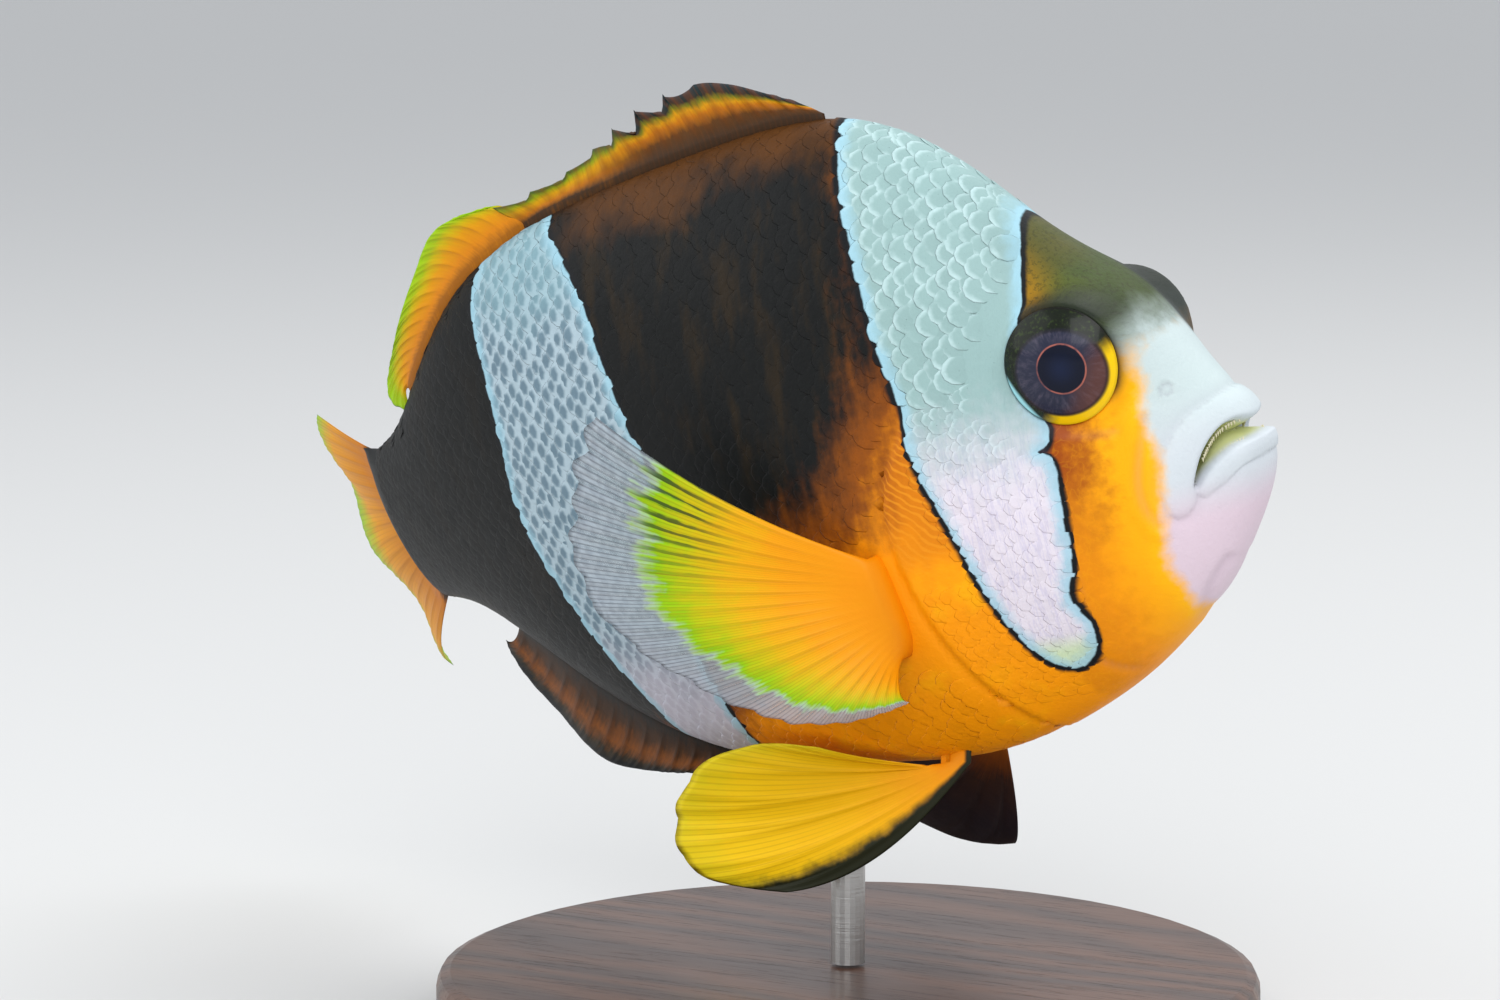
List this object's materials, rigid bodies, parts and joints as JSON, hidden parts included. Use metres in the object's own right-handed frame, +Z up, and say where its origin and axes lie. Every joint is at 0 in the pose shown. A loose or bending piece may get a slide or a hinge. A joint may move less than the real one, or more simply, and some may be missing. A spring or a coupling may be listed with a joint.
{
  "type": "clownfish display model",
  "caption": "Life-size Clark's anemonefish in a swimming turn, with spread fins, held by a short rod over a round display base.",
  "frame": {"origin": "centre of the stand's underside", "axes": "+X the way the fish heads, +Y to the fish's left, +Z up"},
  "size_m": [0.113, 0.072, 0.0834],
  "materials": {
    "fish_skin": "wet-looking scaled skin, black and orange with white bars",
    "fin": "thin ribbed fin, orange to lime yellow",
    "eye": "clear polished dome over a dark iris",
    "stand_wood": "dark oiled wood, satin",
    "stand_steel": "brushed"
  },
  "bodies": {
    "root": {"head": "fish_skin", "lower_jaw": "fish_skin", "trunk": "fish_skin", "tail_stalk": "fish_skin", "eye_right": "eye", "eye_left": "eye", "dorsal_fin_front": "fin", "dorsal_fin_rear": "fin", "anal_fin": "fin", "tail_fin": "fin", "pectoral_fin_right": "fin", "pectoral_fin_left": "fin", "pelvic_fin_right": "fin", "pelvic_fin_left": "fin", "stand_base": "stand_wood", "stand_rod": "stand_steel"}
  },
  "joints": []
}
